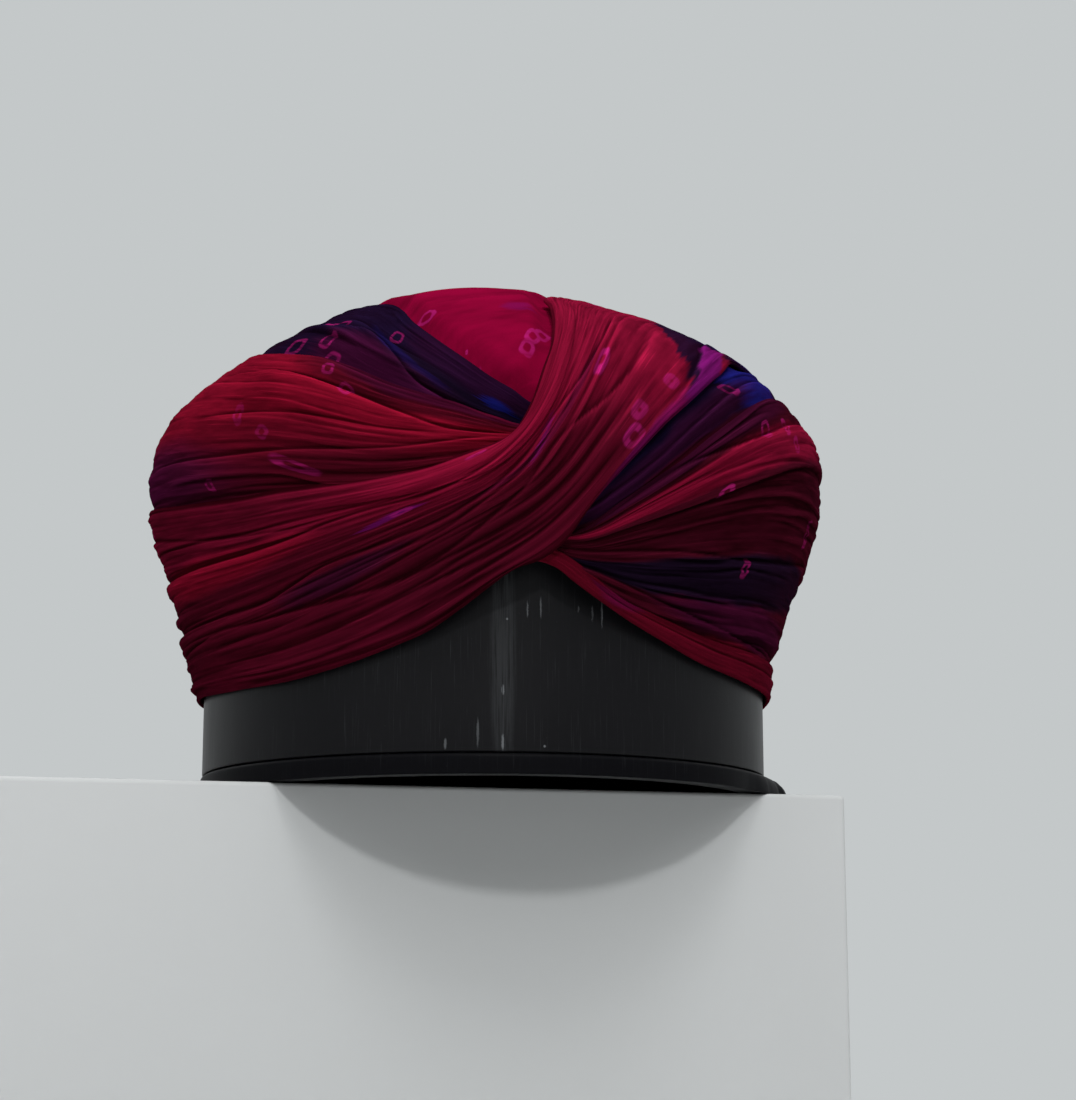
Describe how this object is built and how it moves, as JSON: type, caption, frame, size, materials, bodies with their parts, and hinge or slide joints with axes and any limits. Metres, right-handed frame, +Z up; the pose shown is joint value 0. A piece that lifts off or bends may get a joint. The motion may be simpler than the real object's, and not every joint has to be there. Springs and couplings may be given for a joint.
{
  "type": "tied turban pagri on a round display stand",
  "caption": "Ready-tied turban of fine pleated cloth with a front twist, resting on a plain round tube stand that fills the place of the head.",
  "frame": {"origin": "centre of the stand's underside, on the tube's axis", "axes": "+Z up along the tube, the front with the twist faces -Y, +X to the right in a front view"},
  "size_m": [0.2202, 0.2264, 0.1601],
  "materials": {
    "stand_foot": "black moulded plastic, satin, dusty",
    "stand_tube": "black plastic tube, satin, with fine upright scratches",
    "crown": "fine voile, pink-crimson, with small tie-dyed rings",
    "navy_fold": "fine voile, navy shading to purple",
    "side_fold": "fine voile, navy and purple",
    "upper_left_fan": "fine pleated voile, crimson shading to purple",
    "right_fan": "fine pleated voile, maroon with red and navy bands",
    "hem_fold": "fine voile, red, turned hem",
    "crossing_band": "fine pleated voile, crimson and maroon, with small tie-dyed rings"
  },
  "bodies": {
    "root": {"stand_foot": "stand_foot", "stand_tube": "stand_tube", "crown": "crown", "navy_fold": "navy_fold", "side_fold": "side_fold", "upper_left_fan": "upper_left_fan", "right_fan": "right_fan", "hem_fold": "hem_fold", "crossing_band": "crossing_band"}
  },
  "joints": []
}
